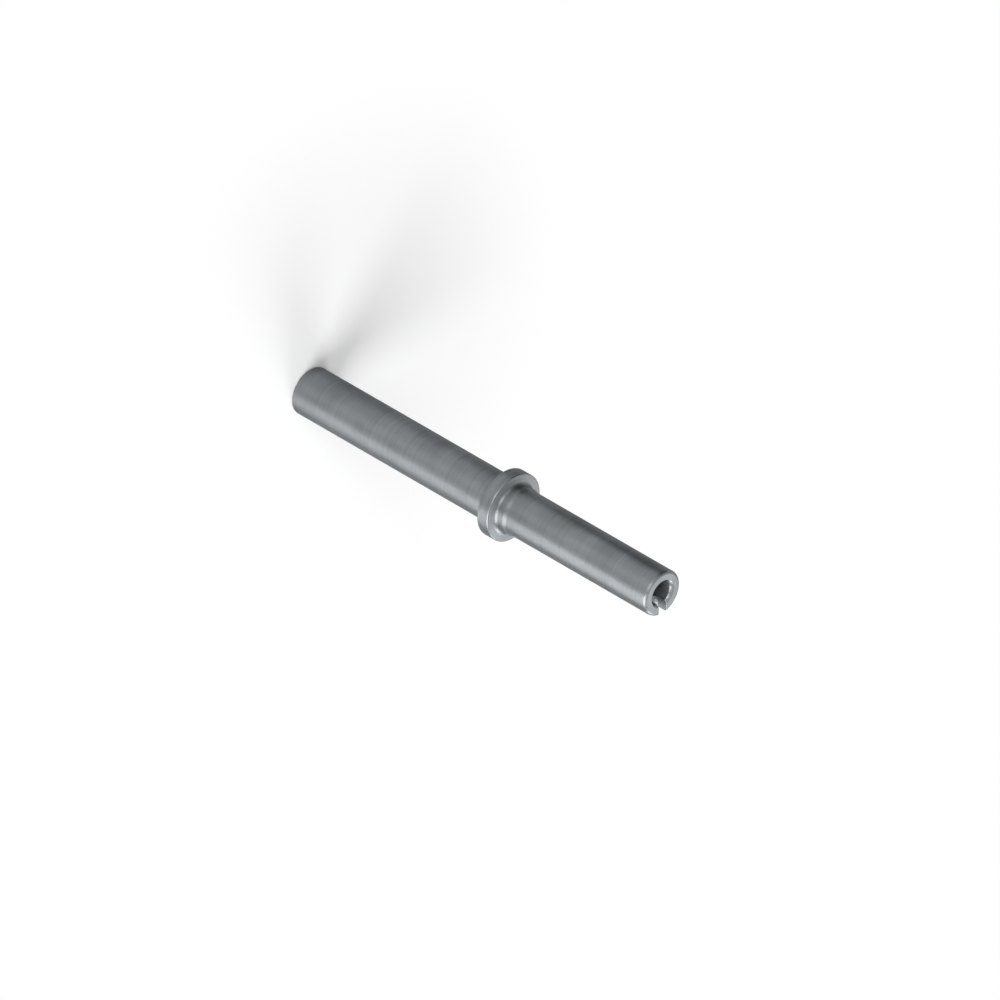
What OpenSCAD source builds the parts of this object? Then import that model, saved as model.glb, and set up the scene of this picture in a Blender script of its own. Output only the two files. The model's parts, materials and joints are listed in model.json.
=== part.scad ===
// Drive shaft, turned from one bar of steel.
// A plain body stands on its flat foot. A collar stops whatever is pushed on from either side.
// The journal above the collar ends in a countersunk blind bore, with a drive slot through one side of its wall.
// Millimetres, +Z along the axis from the foot to the slotted end, the slot towards -Y.

/* [Body] */
// Diameter of the plain body below the collar
body_d = 21; // [16:0.5:25]
// Length of the body, from the foot to the collar
body_l = 110; // [40:1:200]
// Edge break round the foot, at 45 degrees
foot_break = 0.4; // [0.1:0.1:1.5]

/* [Collar] */
// Diameter of the collar
collar_d = 30; // [26:0.5:50]
// Thickness of the collar
collar_t = 6; // [3:0.5:20]
// Edge break on both rims of the collar, at 45 degrees
collar_break = 0.3; // [0.1:0.1:1]
// Radius of the fillet at the root of the collar, on both sides
root_r = 1.5; // [0.5:0.1:2.5]

/* [Land] */
// Height of the short land over the journal, next to the collar
land_step = 0.5; // [0.2:0.1:1.5]
// Length of the land, from the collar to its lead chamfer
land_l = 4; // [3:0.5:15]
// Length of the lead chamfer from the land down to the journal
lead_l = 1.5; // [0.5:0.5:5]

/* [Journal] */
// Diameter of the journal above the collar
journal_d = 20; // [17:0.5:24]
// Length from the collar to the end face
journal_l = 84; // [60:1:150]
// Radius of the round between the journal and the end face
end_r = 1.5; // [0.4:0.1:2]

/* [Bore] */
// Diameter of the blind bore in the end face
bore_d = 10; // [6:0.5:13]
// Depth of the bore's straight wall below the end face
bore_l = 30; // [15:1:60]
// Countersink at the mouth of the bore, at 45 degrees
mouth_break = 1.2; // [0.3:0.1:2]
// Point angle of the drill that leaves the cone at the bottom
drill_angle = 118; // [90:1:140]

/* [Slot] */
// Width of the drive slot through one side of the bore's wall
slot_w = 4.4; // [2:0.1:7]
// Depth of the slot below the end face, down to the bottom of its round
slot_l = 6.7; // [4.5:0.1:20]

/* [Hidden] */
$fn = 128;

// How far a cutter runs past the face it opens
past = 1;

body_r = body_d / 2;
collar_r = collar_d / 2;
journal_r = journal_d / 2;
land_r = journal_r + land_step;
bore_r = bore_d / 2;

shoulder_z = body_l + collar_t;
land_z = shoulder_z + land_l;
lead_z = land_z + lead_l;
end_z = shoulder_z + journal_l;

bore_floor_z = end_z - bore_l;
drill_tip_z = bore_floor_z - bore_r / tan(drill_angle / 2);
slot_round_z = end_z - slot_l + slot_w / 2;

// Fills the inner corner between a face and a wall. The arc is tangent to both.
// side is 1 for a face above the corner and -1 for a face below it.
module root_fillet(wall_r, face_z, side) {
    centre = [wall_r + root_r, face_z - side * root_r];
    difference() {
        translate([wall_r, side > 0 ? face_z - root_r : face_z])
            square(root_r);
        translate(centre)
            circle(root_r);
    }
}

// Half of the bar's lengthwise section. The end face's corner is stepped back to carry its round.
module bar_section() {
    polygon([
        [0, 0],
        [body_r - foot_break, 0],
        [body_r, foot_break],
        [body_r, body_l],
        [collar_r - collar_break, body_l],
        [collar_r, body_l + collar_break],
        [collar_r, shoulder_z - collar_break],
        [collar_r - collar_break, shoulder_z],
        [land_r, shoulder_z],
        [land_r, land_z],
        [journal_r, lead_z],
        [journal_r, end_z - end_r],
        [journal_r - end_r, end_z - end_r],
        [journal_r - end_r, end_z],
        [0, end_z],
    ]);
    translate([journal_r - end_r, end_z - end_r])
        circle(end_r);
    root_fillet(body_r, body_l, 1);
    root_fillet(land_r, shoulder_z, -1);
}

// What the drill and the countersink take out
module bore_cutter() {
    rotate_extrude()
        polygon([
            [0, drill_tip_z],
            [bore_r, bore_floor_z],
            [bore_r, end_z - mouth_break],
            [bore_r + mouth_break + past, end_z + past],
            [0, end_z + past],
        ]);
}

// What the end mill takes out: it comes in from -Y, no deeper than the axis, and leaves by the end face
module slot_cutter() {
    translate([0, 0, slot_round_z]) {
        rotate([90, 0, 0])
            cylinder(d = slot_w, h = journal_r + past);
        translate([-slot_w / 2, -journal_r - past, 0])
            cube([slot_w, journal_r + past, slot_l + past]);
    }
}

module drive_shaft() {
    color([0.66, 0.67, 0.68])
        difference() {
            rotate_extrude()
                bar_section();
            bore_cutter();
            slot_cutter();
        }
}

drive_shaft();
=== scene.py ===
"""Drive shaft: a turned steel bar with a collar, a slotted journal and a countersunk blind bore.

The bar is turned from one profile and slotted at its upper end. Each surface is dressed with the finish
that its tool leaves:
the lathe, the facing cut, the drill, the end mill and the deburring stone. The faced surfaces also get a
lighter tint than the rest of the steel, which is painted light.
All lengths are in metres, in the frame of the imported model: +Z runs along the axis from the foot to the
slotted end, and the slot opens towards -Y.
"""

import json
import logging
import math
from collections.abc import Callable
from dataclasses import dataclass
from enum import Enum

import bpy
from mathutils import Matrix, Vector

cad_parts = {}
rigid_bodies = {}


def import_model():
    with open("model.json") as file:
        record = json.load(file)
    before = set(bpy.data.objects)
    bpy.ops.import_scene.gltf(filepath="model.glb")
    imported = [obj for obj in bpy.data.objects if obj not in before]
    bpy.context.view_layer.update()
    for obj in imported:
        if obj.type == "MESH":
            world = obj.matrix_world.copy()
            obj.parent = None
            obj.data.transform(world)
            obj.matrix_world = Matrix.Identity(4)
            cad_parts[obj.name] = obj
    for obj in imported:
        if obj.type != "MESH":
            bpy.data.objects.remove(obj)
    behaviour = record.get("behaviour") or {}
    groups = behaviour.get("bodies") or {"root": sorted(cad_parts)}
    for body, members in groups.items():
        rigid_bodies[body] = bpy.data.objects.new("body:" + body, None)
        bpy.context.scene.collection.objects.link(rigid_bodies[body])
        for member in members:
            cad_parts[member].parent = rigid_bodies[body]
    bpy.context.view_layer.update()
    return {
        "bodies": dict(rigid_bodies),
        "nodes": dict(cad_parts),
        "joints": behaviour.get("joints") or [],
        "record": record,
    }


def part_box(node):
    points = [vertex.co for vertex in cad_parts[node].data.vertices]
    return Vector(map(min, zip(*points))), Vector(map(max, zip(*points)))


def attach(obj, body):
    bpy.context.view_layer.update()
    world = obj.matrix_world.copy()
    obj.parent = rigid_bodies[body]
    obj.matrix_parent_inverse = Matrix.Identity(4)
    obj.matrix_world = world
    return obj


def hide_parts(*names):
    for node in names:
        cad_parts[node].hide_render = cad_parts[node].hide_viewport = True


LOG = logging.getLogger("drive_shaft")

MM = 0.001
NEAR = 0.002 * MM

# A quarter of a full turn, which draws a reflection out across the tool marks
QUARTER_TURN = 0.25
# The values of the mixed noise at which the marks and stains are at their darkest and their lightest
MARKS_LOW = 0.4
MARKS_HIGH = 0.6
# How much of a face's normal lies along a direction that it squarely faces, hardly faces and slants to
SQUARE_ON = 0.99
HARDLY = 0.05
SLANTED = 0.1
# Pixels to the millimetre in a picture of 1000 pixels, so its reciprocal is the picture's width in metres
PIXELS_PER_MM = 2.496

Point = tuple[float, float, float]
Tint = tuple[float, float, float]
Colour = tuple[float, float, float, float]


class Across(Enum):
    """The direction in which a finish's tool marks follow one another."""

    AXIS = "along the axis, so that each mark runs round the bar"
    RADIUS = "out from the axis, so that each mark is a ring on a face"


class Surface(Enum):
    """The surfaces of the bar, in the order of the piece's material slots."""

    TURNED = 0
    FACED = 1
    EDGE = 2
    DRILLED = 3
    MILLED = 4


class Element(Enum):
    """The elements of a mesh that can be picked, as Blender names them."""

    VERTEX = "VERT"
    EDGE = "EDGE"
    FACE = "FACE"


def select_only(piece: bpy.types.Object) -> None:
    """Deselects everything, then makes one object the selected and active one.

    Args:
        piece: The object that the next operators act on.
    """
    bpy.ops.object.select_all(action="DESELECT")
    piece.select_set(True)
    bpy.context.view_layer.objects.active = piece


def clear_picks(element: Element) -> None:
    """Deselects all of the active mesh, and leaves it in object mode for one kind of element to be picked.

    Args:
        element: The kind of element that is picked next.
    """
    bpy.ops.object.mode_set(mode="EDIT")
    bpy.ops.mesh.select_mode(type=element.value)
    bpy.ops.mesh.select_all(action="DESELECT")
    bpy.ops.object.mode_set(mode="OBJECT")


def pick_vertices(piece: bpy.types.Object, wanted: Callable[[Vector], bool]) -> None:
    """Selects the vertices that a test accepts, and leaves the piece in edit mode.

    Args:
        piece: The mesh object, which is the active one.
        wanted: Says of a vertex's place whether it is selected.
    """
    clear_picks(Element.VERTEX)
    for vertex in piece.data.vertices:
        vertex.select = wanted(vertex.co)
    bpy.ops.object.mode_set(mode="EDIT")


def pick_edges(piece: bpy.types.Object, wanted: Callable[[Vector, Vector], bool]) -> None:
    """Selects the edges that a test accepts, and leaves the piece in edit mode.

    Args:
        piece: The mesh object, which is the active one.
        wanted: Says of an edge's two ends whether the edge is selected.
    """
    clear_picks(Element.EDGE)
    places = [vertex.co.copy() for vertex in piece.data.vertices]
    for edge in piece.data.edges:
        start, end = edge.vertices
        edge.select = wanted(places[start], places[end])
    bpy.ops.object.mode_set(mode="EDIT")


def pick_faces(piece: bpy.types.Object, wanted: Callable[[list[Vector]], bool]) -> None:
    """Selects the faces that a test accepts, and leaves the piece in edit mode.

    Args:
        piece: The mesh object, which is the active one.
        wanted: Says of a face's corners whether the face is selected.
    """
    clear_picks(Element.FACE)
    places = [vertex.co.copy() for vertex in piece.data.vertices]
    for face in piece.data.polygons:
        face.select = wanted([places[index] for index in face.vertices])
    bpy.ops.object.mode_set(mode="EDIT")


@dataclass(frozen=True)
class SteelFinish:
    """Bare steel as one tool leaves it.

    Attributes:
        name: The material's name.
        tint: The steel's colour, which for the faced surfaces is lightened as painted light.
        roughness: The middle of the roughness, which the marks and stains move up and down.
        spread: How far the roughness moves to either side.
        across: The direction in which the marks follow one another.
        pitch: The distance from one fine mark to the next.
        depth: The height of the marks.
        stretch: How much a reflection is drawn out across the marks.
        shade: How much the marks and stains darken and lighten the colour.
        edge_tint: The tint of what is seen at a grazing angle.
    """

    name: str
    tint: Tint
    roughness: float
    spread: float
    across: Across
    pitch: float
    depth: float
    stretch: float
    shade: float
    edge_tint: Colour = (0.35, 0.35, 0.35, 1.0)

    def material(self) -> bpy.types.Material:
        """Builds the finish as a node material on Object coordinates.

        Returns:
            The new material.
        """
        made = bpy.data.materials.new(self.name)
        made.use_nodes = True
        tree = made.node_tree
        tree.nodes.clear()
        shader = tree.nodes.new("ShaderNodeBsdfPrincipled")
        output = tree.nodes.new("ShaderNodeOutputMaterial")
        tree.links.new(shader.outputs["BSDF"], output.inputs["Surface"])
        shader.inputs["Metallic"].default_value = 1.0
        shader.inputs["Specular Tint"].default_value = self.edge_tint
        shader.inputs["Anisotropic"].default_value = self.stretch
        shader.inputs["Anisotropic Rotation"].default_value = QUARTER_TURN

        place = tree.nodes.new("ShaderNodeTexCoord").outputs["Object"]
        marked = self.mark_coordinates(tree, place)
        fine = self.noise(tree, marked, scale=1.0, detail=4.0)
        coarse = self.noise(tree, marked, scale=0.13, detail=5.0)
        stains = self.noise(tree, place, scale=70.0, detail=4.0)

        lines = self.blend_values(tree, fine, coarse, share=0.4)
        cloud = self.blend_values(tree, lines, stains, share=0.35)
        self.link_colour(tree, cloud, shader)
        self.link_roughness(tree, cloud, shader)
        self.link_bump(tree, lines, shader)
        return made

    def mark_coordinates(
        self, tree: bpy.types.NodeTree, place: bpy.types.NodeSocket
    ) -> bpy.types.NodeSocket:
        """Squeezes the coordinates across the marks and draws them out along the marks.

        Args:
            tree: The material's nodes.
            place: The Object coordinates.

        Returns:
            Coordinates in which one unit of Z is one fine mark.
        """
        along = 9.0
        flat = tree.nodes.new("ShaderNodeVectorMath")
        flat.operation = "MULTIPLY"
        flat.inputs[1].default_value = (along, along, 1.0 / self.pitch)
        tree.links.new(place, flat.inputs[0])
        if self.across is Across.AXIS:
            return flat.outputs["Vector"]
        level = tree.nodes.new("ShaderNodeVectorMath")
        level.operation = "MULTIPLY"
        level.inputs[1].default_value = (1.0 / self.pitch, 1.0 / self.pitch, 0.0)
        tree.links.new(place, level.inputs[0])
        radius = tree.nodes.new("ShaderNodeVectorMath")
        radius.operation = "LENGTH"
        tree.links.new(level.outputs["Vector"], radius.inputs[0])
        parts = tree.nodes.new("ShaderNodeSeparateXYZ")
        tree.links.new(flat.outputs["Vector"], parts.inputs["Vector"])
        joined = tree.nodes.new("ShaderNodeCombineXYZ")
        tree.links.new(parts.outputs["X"], joined.inputs["X"])
        tree.links.new(parts.outputs["Y"], joined.inputs["Y"])
        tree.links.new(radius.outputs["Value"], joined.inputs["Z"])
        return joined.outputs["Vector"]

    @staticmethod
    def noise(
        tree: bpy.types.NodeTree, place: bpy.types.NodeSocket, scale: float, detail: float
    ) -> bpy.types.NodeSocket:
        """Adds a noise texture.

        Args:
            tree: The material's nodes.
            place: The coordinates that the noise reads.
            scale: How many of its cells go to one unit of the coordinates.
            detail: How many finer layers it has.

        Returns:
            The noise's value, from 0 to 1.
        """
        node = tree.nodes.new("ShaderNodeTexNoise")
        node.inputs["Scale"].default_value = scale
        node.inputs["Detail"].default_value = detail
        tree.links.new(place, node.inputs["Vector"])
        return node.outputs["Fac"]

    @staticmethod
    def blend_values(
        tree: bpy.types.NodeTree, first: bpy.types.NodeSocket, second: bpy.types.NodeSocket, share: float
    ) -> bpy.types.NodeSocket:
        """Mixes two values.

        Args:
            tree: The material's nodes.
            first: The one value.
            second: The other value.
            share: The second value's share.

        Returns:
            The mixed value.
        """
        node = tree.nodes.new("ShaderNodeMix")
        node.data_type = "FLOAT"
        node.inputs["Factor"].default_value = share
        tree.links.new(first, node.inputs["A"])
        tree.links.new(second, node.inputs["B"])
        return node.outputs["Result"]

    def link_colour(
        self, tree: bpy.types.NodeTree, cloud: bpy.types.NodeSocket, shader: bpy.types.Node
    ) -> None:
        """Lets the marks and stains darken and lighten the steel.

        Args:
            tree: The material's nodes.
            cloud: The mixed marks and stains.
            shader: The steel's shader.
        """
        ramp = tree.nodes.new("ShaderNodeValToRGB")
        dark, light = ramp.color_ramp.elements
        dark.position = MARKS_LOW
        light.position = MARKS_HIGH
        dark.color = (*(part * (1.0 - self.shade) for part in self.tint), 1.0)
        light.color = (*(part * (1.0 + self.shade) for part in self.tint), 1.0)
        tree.links.new(cloud, ramp.inputs["Fac"])
        tree.links.new(ramp.outputs["Color"], shader.inputs["Base Color"])

    def link_roughness(
        self, tree: bpy.types.NodeTree, cloud: bpy.types.NodeSocket, shader: bpy.types.Node
    ) -> None:
        """Lets the marks and stains move the roughness.

        Args:
            tree: The material's nodes.
            cloud: The mixed marks and stains.
            shader: The steel's shader.
        """
        span = tree.nodes.new("ShaderNodeMapRange")
        span.inputs["From Min"].default_value = MARKS_LOW
        span.inputs["From Max"].default_value = MARKS_HIGH
        span.inputs["To Min"].default_value = self.roughness + self.spread
        span.inputs["To Max"].default_value = self.roughness - self.spread
        tree.links.new(cloud, span.inputs["Value"])
        tree.links.new(span.outputs["Result"], shader.inputs["Roughness"])

    def link_bump(
        self, tree: bpy.types.NodeTree, lines: bpy.types.NodeSocket, shader: bpy.types.Node
    ) -> None:
        """Raises the tool marks.

        Args:
            tree: The material's nodes.
            lines: The tool marks.
            shader: The steel's shader.
        """
        bump = tree.nodes.new("ShaderNodeBump")
        bump.inputs["Strength"].default_value = 1.0
        bump.inputs["Distance"].default_value = self.depth
        tree.links.new(lines, bump.inputs["Height"])
        tree.links.new(bump.outputs["Normal"], shader.inputs["Normal"])


@dataclass(frozen=True)
class Corner:
    """One corner of the turned profile.

    Attributes:
        radius: Its distance from the axis.
        height: Its height above the foot.
        soft: The radius that rounds it, or 0 for a corner that stays as it is.
        steps: How many steps that rounding has.
    """

    radius: float
    height: float
    soft: float = 0.0
    steps: int = 0

    def place(self) -> Vector:
        """The corner in the plane in which the profile is drawn."""
        return Vector((self.radius, 0.0, self.height))


@dataclass
class DriveShaft:
    """The whole shaft, turned from one bar.

    Attributes:
        body_radius: Radius of the plain body below the collar.
        journal_radius: Radius of the journal above the collar.
        bore_radius: Radius of the blind bore in the end face.
        collar_radius: Radius of the collar.
        collar_foot: Height of the collar's underside.
        collar_top: Height of the collar's upper face.
        end: Height of the end face.
        foot_break: Edge break round the foot.
        collar_break: Edge break on both rims of the collar.
        root_radius: Fillet at the root of the collar, on both sides.
        land_step: Height of the land over the journal.
        land_length: Length of the land from the collar to its lead chamfer.
        lead_length: Length of the lead chamfer.
        end_round: Round between the journal and the end face.
        bore_depth: Depth of the bore's straight wall.
        mouth_break: Countersink at the mouth of the bore.
        drill_angle: Point angle of the drill, in degrees.
        slot_width: Width of the drive slot.
        slot_depth: Depth of the slot below the end face.
        burr_break: Width of the break that the deburring stone leaves along the slot.
        edge_soft: Rounding of every turned edge.
        columns: How many columns of faces go round the bar.
        slot_columns: How many of them lie between the slot's middle and its wall.
        belt_below: How far below the slot the first plain ring of vertices lies.
        belt_blend: The length over which the columns pass from even spacing to the slot's.
    """

    body_radius: float
    journal_radius: float
    bore_radius: float
    collar_radius: float
    collar_foot: float
    collar_top: float
    end: float
    foot_break: float = 0.4 * MM
    collar_break: float = 0.3 * MM
    root_radius: float = 1.5 * MM
    land_step: float = 0.5 * MM
    land_length: float = 4.0 * MM
    lead_length: float = 1.5 * MM
    end_round: float = 1.5 * MM
    bore_depth: float = 30.0 * MM
    mouth_break: float = 1.2 * MM
    drill_angle: float = 118.0
    slot_width: float = 4.4 * MM
    slot_depth: float = 6.7 * MM
    burr_break: float = 0.15 * MM
    edge_soft: float = 0.1 * MM
    columns: int = 128
    slot_columns: int = 6
    belt_below: float = 1.0 * MM
    belt_blend: float = 12.0 * MM

    @classmethod
    def from_frame(cls, frame: dict) -> "DriveShaft":
        """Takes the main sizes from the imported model.


        Returns:
            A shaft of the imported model's size.
        """
        mounts = {mount["name"]: mount for mount in frame["record"]["mounts"]}
        lowest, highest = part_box("drive_shaft")
        return cls(
            body_radius=mounts["body"]["dims"]["r_mm"] * MM,
            journal_radius=mounts["journal"]["dims"]["r_mm"] * MM,
            bore_radius=mounts["bore"]["dims"]["r_mm"] * MM,
            collar_radius=(highest.x - lowest.x) / 2,
            collar_foot=mounts["collar_underside"]["pos_m"][2],
            collar_top=mounts["collar_top"]["pos_m"][2],
            end=highest.z,
        )

    @property
    def slot_half(self) -> float:
        """Half of the slot's width, which is also the radius of its round bottom."""
        return self.slot_width / 2

    @property
    def slot_round(self) -> float:
        """Height of the middle of the slot's round bottom."""
        return self.end - self.slot_depth + self.slot_half

    @property
    def slot_belt(self) -> float:
        """Height of the ring of vertices just below the slot."""
        return self.end - self.slot_depth - self.belt_below

    @property
    def plain_belt(self) -> float:
        """Height of the ring up to which the columns are evenly spaced."""
        return self.slot_belt - self.belt_blend

    def profile(self) -> list[Corner]:
        """The turned profile, from the drill's tip over the end face and down to the foot's middle.

        Returns:
            The corners in order. The first and the last are on the axis.
        """
        soft = self.edge_soft
        bore_floor = self.end - self.bore_depth
        tip = bore_floor - self.bore_radius / math.tan(math.radians(self.drill_angle / 2))
        land_radius = self.journal_radius + self.land_step
        land_end = self.collar_top + self.land_length
        belts = (self.plain_belt, self.slot_belt, self.slot_round)
        return [
            Corner(0.0, tip),
            Corner(self.bore_radius, bore_floor, soft, 2),
            *(Corner(self.bore_radius, height) for height in belts),
            Corner(self.bore_radius, self.end - self.mouth_break, soft, 2),
            Corner(self.bore_radius + self.mouth_break, self.end, soft, 2),
            Corner(self.journal_radius, self.end, self.end_round, 8),
            *(Corner(self.journal_radius, height) for height in reversed(belts)),
            Corner(self.journal_radius, land_end + self.lead_length, soft, 2),
            Corner(land_radius, land_end, soft, 2),
            Corner(land_radius, self.collar_top, self.root_radius, 8),
            Corner(self.collar_radius - self.collar_break, self.collar_top, soft, 2),
            Corner(self.collar_radius, self.collar_top - self.collar_break, soft, 2),
            Corner(self.collar_radius, self.collar_foot + self.collar_break, soft, 2),
            Corner(self.collar_radius - self.collar_break, self.collar_foot, soft, 2),
            Corner(self.body_radius, self.collar_foot, self.root_radius, 8),
            Corner(self.body_radius, self.foot_break, soft, 2),
            Corner(self.body_radius - self.foot_break, 0.0, soft, 2),
            Corner(0.0, 0.0),
        ]

    def draw_profile(self) -> bpy.types.Object:
        """Draws the profile as a chain of edges and rounds its corners.

        Returns:
            The chain, with its place in its mesh, in edit mode.
        """
        corners = self.profile()
        bpy.ops.object.select_all(action="DESELECT")
        bpy.ops.mesh.primitive_plane_add(size=MM, location=corners[0].place())
        piece = bpy.context.object
        piece.name = piece.data.name = "turned_shaft"
        bpy.ops.object.mode_set(mode="EDIT")
        bpy.ops.mesh.merge(type="CENTER")
        for before, after in zip(corners, corners[1:]):
            step = after.place() - before.place()
            bpy.ops.mesh.extrude_region_move(TRANSFORM_OT_translate={"value": step})
        bpy.ops.object.mode_set(mode="OBJECT")
        bpy.ops.object.transform_apply(location=True, rotation=True, scale=True)
        for soft, steps in sorted({(c.soft, c.steps) for c in corners if c.steps}):
            places = [c.place() for c in corners if (c.soft, c.steps) == (soft, steps)]
            pick_vertices(piece, lambda co, at=places: any((co - p).length < NEAR for p in at))
            bpy.ops.mesh.bevel(
                offset_type="OFFSET", offset=soft, segments=steps, affect="VERTICES", clamp_overlap=False
            )
        return piece

    def turn(self, piece: bpy.types.Object) -> None:
        """Turns the profile round the axis into a closed bar.

        Args:
            piece: The chain of edges, in edit mode.
        """
        bpy.ops.mesh.select_all(action="SELECT")
        bpy.ops.mesh.spin(steps=self.columns, angle=math.tau, center=(0, 0, 0), axis=(0, 0, 1))
        bpy.ops.mesh.select_all(action="SELECT")
        bpy.ops.mesh.remove_doubles(threshold=NEAR)
        bpy.ops.mesh.normals_make_consistent(inside=False)
        bpy.ops.object.mode_set(mode="OBJECT")
        LOG.info("%s: turned, %d faces", piece.name, len(piece.data.polygons))

    def column_turn(self, column: int, radius: float) -> float:
        """The angle of a column from the slot's middle, near the slotted end.

        The columns up to the slot's wall run parallel to it, and so does the next one. The others share
        what is left of the half circle evenly.

        Args:
            column: The column's number, counted from the slot's middle.
            radius: The radius of the ring on which it is wanted.

        Returns:
            The angle in radians.
        """
        guard = self.slot_columns + 1
        if column <= self.slot_columns:
            across = self.slot_half * math.sin(column / self.slot_columns * math.pi / 2)
            return math.asin(across / radius)
        first = math.asin((self.slot_half + 2 * self.burr_break) / radius)
        share = (column - guard) / (self.columns // 2 - guard)
        return first + share * (math.pi - first)

    def slot_floor(self, across: float) -> float:
        """Height of the slot's round bottom at a distance from its middle plane."""
        return self.slot_round - math.sqrt(max(0.0, self.slot_half**2 - across**2))

    def line_up_columns(self, piece: bpy.types.Object) -> None:
        """Slides the columns near the slotted end until they run along the slot's walls and bottom.

        Args:
            piece: The turned bar, in object mode.
        """
        step = math.tau / self.columns
        for vertex in piece.data.vertices:
            radius = vertex.co.xy.length
            if vertex.co.z < self.slot_belt - NEAR:
                continue
            turned = math.atan2(vertex.co.x, -vertex.co.y)
            column = round(abs(turned) / step)
            angle = math.copysign(self.column_turn(column, radius), turned)
            on_belt = abs(vertex.co.z - self.slot_round) < NEAR
            vertex.co.x = radius * math.sin(angle)
            vertex.co.y = -radius * math.cos(angle)
            if on_belt and column <= self.slot_columns:
                vertex.co.z = self.slot_floor(vertex.co.x)
        piece.data.update()

    def in_slot(self, place: Vector) -> bool:
        """Says whether a place is in the slot or on its walls or bottom."""
        inside = abs(place.x) < self.slot_half + NEAR and place.y < 0.0
        return inside and place.z > self.slot_floor(place.x) - NEAR

    def on_slot_floor(self, place: Vector) -> bool:
        """Says whether a place is on the slot's round bottom."""
        return self.in_slot(place) and place.z < self.slot_floor(place.x) + NEAR

    def mill_slot(self, piece: bpy.types.Object) -> None:
        """Opens the drive slot, closes its bottom and walls, and breaks its edges.

        Args:
            piece: The turned bar with its columns lined up, in object mode.
        """
        pick_faces(piece, lambda corners: all(self.in_slot(p) for p in corners))
        bpy.ops.mesh.delete(type="FACE")
        pick_edges(piece, lambda a, b: self.on_slot_floor(a) and self.on_slot_floor(b))
        bpy.ops.mesh.bridge_edge_loops()
        for side in (-1.0, 1.0):
            wall = side * self.slot_half
            pick_edges(
                piece,
                lambda a, b, x=wall: all(
                    abs(p.x - x) < NEAR and p.y < 0.0 and p.z > self.slot_round - NEAR for p in (a, b)
                ),
            )
            bpy.ops.mesh.edge_face_add()
        bpy.ops.mesh.select_all(action="SELECT")
        bpy.ops.mesh.normals_make_consistent(inside=False)
        nearly_through = 0.9 * (self.journal_radius - self.bore_radius)
        pick_edges(
            piece,
            lambda a, b: self.in_slot(a)
            and self.in_slot(b)
            and abs(a.xy.length - b.xy.length) < nearly_through,
        )
        bpy.ops.mesh.bevel(
            offset_type="OFFSET", offset=self.burr_break, segments=2, affect="EDGES", clamp_overlap=False
        )
        bpy.ops.object.mode_set(mode="OBJECT")
        LOG.info("%s: slotted, %d faces", piece.name, len(piece.data.polygons))

    def smooth(self, piece: bpy.types.Object) -> None:
        """Shades the bar smooth, with every flat face and wall true up to its rounded edges.

        Args:
            piece: The slotted bar, in object mode.
        """
        select_only(piece)
        bpy.ops.object.shade_smooth()
        weigh = piece.modifiers.new("true_faces", "WEIGHTED_NORMAL")
        weigh.mode = "FACE_AREA"
        weigh.weight = 100
        bpy.ops.object.modifier_apply(modifier=weigh.name)

    def surface_at(self, face: bpy.types.MeshPolygon) -> Surface:
        """Says which tool made a face.

        Args:
            face: One face of the bar.

        Returns:
            The surface that the face belongs to.
        """
        middle, normal = face.center, face.normal
        radius = middle.xy.length
        beside = abs(middle.x) < self.slot_half + self.burr_break and middle.y < 0.0
        if beside and middle.z > self.slot_floor(middle.x) - self.burr_break:
            cut = abs(normal.x) > SQUARE_ON or middle.z < self.slot_round
            return Surface.MILLED if cut and abs(normal.y) < HARDLY else Surface.EDGE
        if abs(normal.z) > SQUARE_ON:
            return Surface.FACED
        at_mouth = radius < self.bore_radius + self.mouth_break + self.edge_soft
        if at_mouth and middle.z > self.end - self.bore_depth - self.bore_radius:
            return Surface.EDGE if normal.z > SLANTED and middle.z > self.slot_round else Surface.DRILLED
        on_rim = radius > self.collar_radius - self.collar_break - self.edge_soft
        at_foot = middle.z < self.foot_break + self.edge_soft
        return Surface.EDGE if abs(normal.z) > SLANTED and (on_rim or at_foot) else Surface.TURNED

    def dress(self, piece: bpy.types.Object, finishes: dict[Surface, SteelFinish]) -> None:
        """Gives every face the finish of its surface.

        Args:
            piece: The finished bar.
            finishes: The finish of each surface.
        """
        piece.data.materials.clear()
        for surface in Surface:
            piece.data.materials.append(finishes[surface].material())
        for face in piece.data.polygons:
            face.material_index = self.surface_at(face).value

    def build(self, finishes: dict[Surface, SteelFinish]) -> bpy.types.Object:
        """Makes the shaft and puts it in the place of the CAD node.

        Args:
            finishes: The finish of each surface.

        Returns:
            The finished piece.
        """
        piece = self.draw_profile()
        self.turn(piece)
        self.line_up_columns(piece)
        self.mill_slot(piece)
        self.smooth(piece)
        self.dress(piece, finishes)
        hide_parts("drive_shaft")
        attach(piece, "root")
        return piece


@dataclass(frozen=True)
class Softbox:
    """A square soft light.

    Attributes:
        name: The lamp's name.
        place: Where it stands.
        aim: The point that it faces.
        width: The length of its sides.
        power: Its power in watts.
    """

    name: str
    place: Point
    aim: Point
    width: float
    power: float

    def build(self) -> bpy.types.Object:
        """Adds the lamp.

        Returns:
            The lamp's object.
        """
        bpy.ops.object.light_add(type="AREA", location=self.place)
        lamp = bpy.context.object
        lamp.name = lamp.data.name = self.name
        lamp.data.size = self.width
        lamp.data.energy = self.power
        lamp.rotation_mode = "QUATERNION"
        lamp.rotation_quaternion = (Vector(self.aim) - Vector(self.place)).to_track_quat("-Z", "Y")
        return lamp


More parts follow.
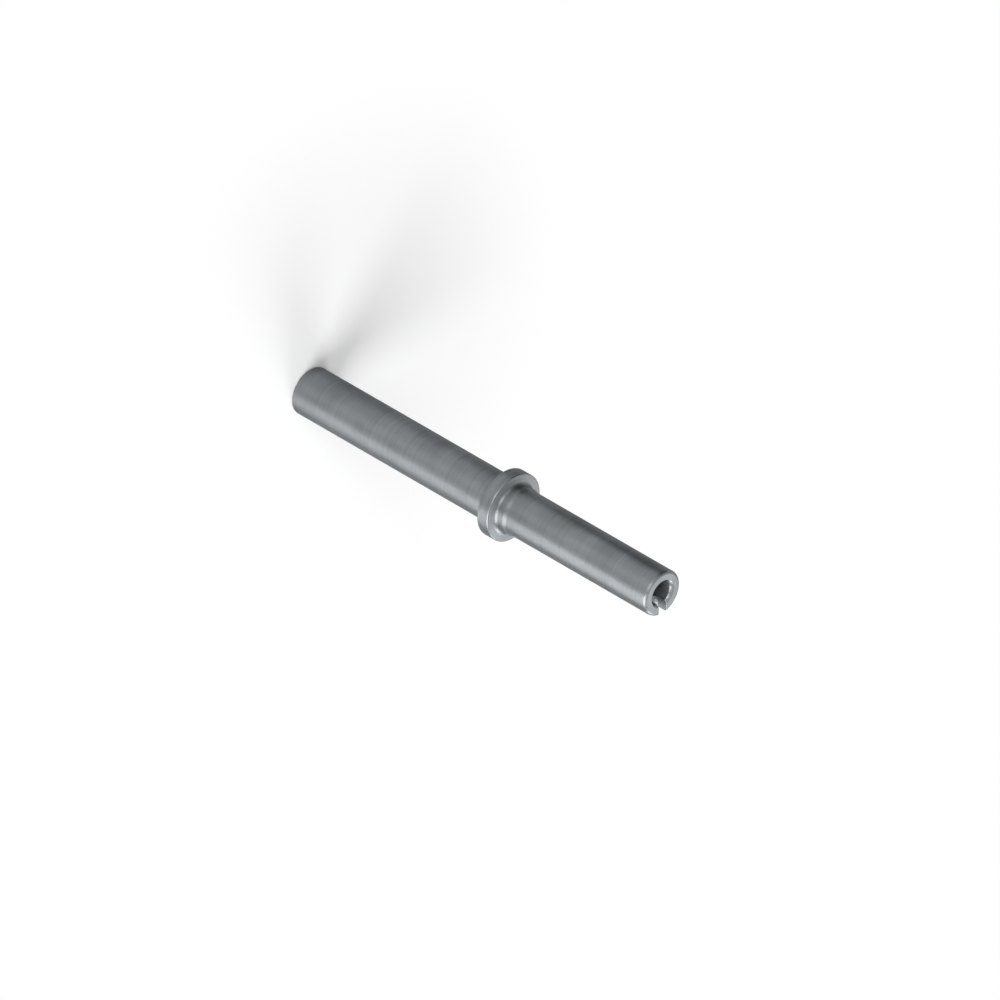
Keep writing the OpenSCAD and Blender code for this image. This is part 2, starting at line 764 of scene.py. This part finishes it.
@dataclass
class Studio:
    """The pale floor, the white surround and the lamps.

    Attributes:
        lamps: The soft lights.
        floor_width: The length of the floor's sides.
        floor_tint: The floor's colour near the shaft.
        ambient: The strength of the surround as light on the shaft.
        fade_start: The distance from the axis at which the floor begins to pass into the surround.
        fade_end: The distance at which nothing is left of it.
        dark_corner: How far out along X and along Y the floor's unlit corner begins.
        dark_ramp: How much further out it is as dark as it gets.
        dark_side: The low direction in which the studio is unlit, which gives the round steel its shape.
        dark_level: How much light comes from that side.
        dark_reach: The cosine of the angle from that direction at which the surround is white again.
    """

    lamps: tuple[Softbox, ...]
    floor_width: float = 30.0
    floor_tint: Colour = (0.9, 0.9, 0.9, 1.0)
    ambient: float = 0.42
    fade_start: float = 0.03
    fade_end: float = 0.15
    dark_corner: tuple[float, float] = (0.13, 0.112)
    dark_ramp: float = 0.08
    dark_side: Point = (0.675, 0.675, 0.3)
    dark_level: float = 0.05
    dark_reach: float = 0.7

    def surround_level(
        self, tree: bpy.types.NodeTree, direction: bpy.types.NodeSocket
    ) -> bpy.types.NodeSocket:
        """Adds the brightness of the surround: white, with one darker side.

        Args:
            tree: The nodes of the floor or the world.
            direction: The direction from the shaft, of length 1.

        Returns:
            The brightness, where 1 is white.
        """
        facing = tree.nodes.new("ShaderNodeVectorMath")
        facing.operation = "DOT_PRODUCT"
        facing.inputs[1].default_value = self.dark_side
        tree.links.new(direction, facing.inputs[0])
        level = tree.nodes.new("ShaderNodeMapRange")
        level.interpolation_type = "SMOOTHSTEP"
        level.inputs["From Min"].default_value = self.dark_reach
        level.inputs["From Max"].default_value = 1.0
        level.inputs["To Min"].default_value = 1.0
        level.inputs["To Max"].default_value = self.dark_level
        tree.links.new(facing.outputs["Value"], level.inputs["Value"])
        return level.outputs["Result"]

    @staticmethod
    def seen_directly(tree: bpy.types.NodeTree) -> bpy.types.NodeSocket:
        """Adds a value that is 1 where the camera, metal or glass looks, and 0 for light that is cast.

        Args:
            tree: The nodes of the floor or the world.

        Returns:
            The value.
        """
        path = tree.nodes.new("ShaderNodeLightPath")
        seen = path.outputs["Is Camera Ray"]
        for name in ("Is Glossy Ray", "Is Transmission Ray"):
            either = tree.nodes.new("ShaderNodeMath")
            either.operation = "MAXIMUM"
            tree.links.new(seen, either.inputs[0])
            tree.links.new(path.outputs[name], either.inputs[1])
            seen = either.outputs["Value"]
        return seen

    @staticmethod
    def rise(
        tree: bpy.types.NodeTree, value: bpy.types.NodeSocket, start: float, end: float
    ) -> bpy.types.NodeSocket:
        """Adds a value that rises smoothly from 0 to 1.

        Args:
            tree: The nodes of the floor.
            value: The value that it follows.
            start: Where it leaves 0.
            end: Where it reaches 1.

        Returns:
            The rising value.
        """
        node = tree.nodes.new("ShaderNodeMapRange")
        node.interpolation_type = "SMOOTHSTEP"
        node.inputs["From Min"].default_value = start
        node.inputs["From Max"].default_value = end
        tree.links.new(value, node.inputs["Value"])
        return node.outputs["Result"]

    def unlit_corner(
        self, tree: bpy.types.NodeTree, place: bpy.types.NodeSocket
    ) -> bpy.types.NodeSocket:
        """Adds a value that is 1 in the floor's unlit corner and 0 in the rest of the floor.

        Args:
            tree: The nodes of the floor.
            place: The Object coordinates.

        Returns:
            The value.
        """
        parts = tree.nodes.new("ShaderNodeSeparateXYZ")
        tree.links.new(place, parts.inputs["Vector"])
        both = tree.nodes.new("ShaderNodeMath")
        both.operation = "MULTIPLY"
        for index, start in enumerate(self.dark_corner):
            side = self.rise(tree, parts.outputs[index], start, start + self.dark_ramp)
            tree.links.new(side, both.inputs[index])
        return both.outputs["Value"]

    def floor_material(self) -> bpy.types.Material:
        """A pale matt floor that passes into the surround a little way from the shaft.

        Returns:
            The floor's material.
        """
        made = bpy.data.materials.new("pale_floor")
        made.use_nodes = True
        tree = made.node_tree
        tree.nodes.clear()
        matt = tree.nodes.new("ShaderNodeBsdfDiffuse")
        matt.inputs["Color"].default_value = self.floor_tint
        white = tree.nodes.new("ShaderNodeEmission")
        output = tree.nodes.new("ShaderNodeOutputMaterial")
        place = tree.nodes.new("ShaderNodeTexCoord").outputs["Object"]
        outwards = tree.nodes.new("ShaderNodeVectorMath")
        outwards.operation = "NORMALIZE"
        tree.links.new(place, outwards.inputs[0])
        far = tree.nodes.new("ShaderNodeVectorMath")
        far.operation = "LENGTH"
        tree.links.new(place, far.inputs[0])
        unlit = tree.nodes.new("ShaderNodeMix")
        unlit.data_type = "FLOAT"
        unlit.inputs["A"].default_value = 1.0
        tree.links.new(self.unlit_corner(tree, place), unlit.inputs["Factor"])
        tree.links.new(self.surround_level(tree, outwards.outputs["Vector"]), unlit.inputs["B"])
        tree.links.new(unlit.outputs["Result"], white.inputs["Strength"])
        share = tree.nodes.new("ShaderNodeMath")
        share.operation = "MULTIPLY"
        away = self.rise(tree, far.outputs["Value"], self.fade_start, self.fade_end)
        tree.links.new(away, share.inputs[0])
        tree.links.new(self.seen_directly(tree), share.inputs[1])
        mix = tree.nodes.new("ShaderNodeMixShader")
        tree.links.new(share.outputs["Value"], mix.inputs["Fac"])
        tree.links.new(matt.outputs["BSDF"], mix.inputs[1])
        tree.links.new(white.outputs["Emission"], mix.inputs[2])
        tree.links.new(mix.outputs["Shader"], output.inputs["Surface"])
        return made

    def build_floor(self) -> bpy.types.Object:
        """Adds the floor at the level of the shaft's foot.

        Returns:
            The floor.
        """
        bpy.ops.object.select_all(action="DESELECT")
        bpy.ops.mesh.primitive_plane_add(size=self.floor_width)
        floor = bpy.context.object
        floor.name = floor.data.name = "floor"
        floor.data.materials.append(self.floor_material())
        return floor

    def build_world(self) -> None:
        """Surrounds the scene with white, and lets a part of it fall on the shaft as light."""
        world = bpy.data.worlds.new("white_surround")
        world.use_nodes = True
        tree = world.node_tree
        tree.nodes.clear()
        sky = tree.nodes.new("ShaderNodeBackground")
        sky.inputs["Color"].default_value = (1.0, 1.0, 1.0, 1.0)
        output = tree.nodes.new("ShaderNodeOutputWorld")
        level = tree.nodes.new("ShaderNodeMapRange")
        level.inputs["To Min"].default_value = self.ambient
        direction = tree.nodes.new("ShaderNodeTexCoord").outputs["Generated"]
        # A direction below the horizon counts as level, so that floor and sky meet without a step
        above = tree.nodes.new("ShaderNodeVectorMath")
        above.operation = "MAXIMUM"
        above.inputs[1].default_value = (-1.0, -1.0, 0.0)
        tree.links.new(direction, above.inputs[0])
        tree.links.new(self.surround_level(tree, above.outputs["Vector"]), level.inputs["To Max"])
        tree.links.new(self.seen_directly(tree), level.inputs["Value"])
        tree.links.new(level.outputs["Result"], sky.inputs["Strength"])
        tree.links.new(sky.outputs["Background"], output.inputs["Surface"])
        bpy.context.scene.world = world

    def build(self) -> None:
        """Makes the floor, the surround and the lamps, and sets the plain view transform."""
        self.build_floor()
        self.build_world()
        for lamp in self.lamps:
            lamp.build()
        bpy.context.scene.view_settings.view_transform = "Standard"


@dataclass
class PhotoCamera:
    """The camera at the photograph's viewing angle.

    Attributes:
        target: The point in the middle of the picture.
        towards: The direction from that point to the camera.
        upright: The direction that the picture shows upright.
        width: How much of the scene the picture spans at that point.
        lens: The focal length in millimetres.
        sensor: The sensor's width in millimetres.
        reach: How far the camera sees.
    """

    target: Point
    towards: Point
    upright: Point
    width: float
    lens: float = 1000.0
    sensor: float = 36.0
    reach: float = 100.0

    def build(self) -> bpy.types.Object:
        """Adds the camera and makes it the scene's own.

        Returns:
            The camera's object.
        """
        back = Vector(self.towards).normalized()
        right = Vector(self.upright).cross(back).normalized()
        up = back.cross(right)
        data = bpy.data.cameras.new("photo_camera")
        data.lens = self.lens
        data.sensor_width = self.sensor
        data.clip_end = self.reach
        camera = bpy.data.objects.new("photo_camera", data)
        bpy.context.scene.collection.objects.link(camera)
        turn = Matrix((right, up, back)).transposed().to_4x4()
        distance = self.width * self.lens / self.sensor
        camera.matrix_world = Matrix.Translation(Vector(self.target) + back * distance) @ turn
        bpy.context.scene.camera = camera
        return camera


STEEL: Tint = (0.225, 0.237, 0.246)
# A lighter copy of the steel's tint for the end face and the collar's faces: painted light that makes them
# read as lit
FACE_TINT_PAINTED_LIGHT: Tint = (0.37, 0.39, 0.406)

FINISHES = {
    Surface.TURNED: SteelFinish(
        name="turned_steel",
        tint=STEEL,
        roughness=0.43,
        spread=0.06,
        across=Across.AXIS,
        pitch=0.22 * MM,
        depth=60e-6,
        stretch=0.83,
        shade=0.16,
    ),
    # Its lighter tint is painted light; its roughness and ring marks come from the facing cut
    Surface.FACED: SteelFinish(
        name="faced_steel_painted_light",
        tint=FACE_TINT_PAINTED_LIGHT,
        roughness=0.56,
        spread=0.07,
        across=Across.RADIUS,
        pitch=0.18 * MM,
        depth=50e-6,
        stretch=0.1,
        shade=0.16,
    ),
    Surface.EDGE: SteelFinish(
        name="stoned_edge",
        tint=STEEL,
        roughness=0.28,
        spread=0.05,
        across=Across.AXIS,
        pitch=0.3 * MM,
        depth=4e-6,
        stretch=0.0,
        shade=0.06,
    ),
    Surface.DRILLED: SteelFinish(
        name="drilled_bore",
        tint=STEEL,
        roughness=0.56,
        spread=0.08,
        across=Across.AXIS,
        pitch=0.3 * MM,
        depth=80e-6,
        stretch=0.3,
        shade=0.18,
    ),
    Surface.MILLED: SteelFinish(
        name="milled_slot",
        tint=STEEL,
        roughness=0.46,
        spread=0.07,
        across=Across.AXIS,
        pitch=0.35 * MM,
        depth=60e-6,
        stretch=0.2,
        shade=0.16,
    ),
}

LAMPS = (
    Softbox(
        name="key_softbox",
        place=(-0.5, -0.235, 0.26),
        aim=(-0.1, -0.05, 0.05),
        width=0.48,
        power=4.0,
    ),
    Softbox(
        name="back_softbox",
        place=(0.15, -0.8, 0.5),
        aim=(0.1, -0.2, 0.0),
        width=0.4,
        power=2.8,
    ),
    Softbox(
        name="front_softbox",
        place=(-0.8, 0.8, 1.0),
        aim=(0.0, 0.0, 0.12),
        width=0.7,
        power=5.5,
    ),
)


def main() -> None:
    """Builds the shaft, the studio and the camera, and logs what it made."""
    logging.basicConfig(level=logging.INFO, format="%(name)s: %(message)s")
    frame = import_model()
    shaft = DriveShaft.from_frame(frame)
    piece = shaft.build(FINISHES)
    LOG.info("%s: finished, %d faces", piece.name, len(piece.data.polygons))
    Studio(LAMPS).build()
    LOG.info("studio: floor, surround and %d lamps", len(LAMPS))
    PhotoCamera(
        target=(0.0, 0.0, 0.1082),
        towards=(-1.0, 1.0, 1.0),
        upright=(0.0, 1.0, 0.0),
        width=1.0 / PIXELS_PER_MM,
    ).build()
    LOG.info("camera: at the photograph's angle")


if __name__ == "__main__":
    main()
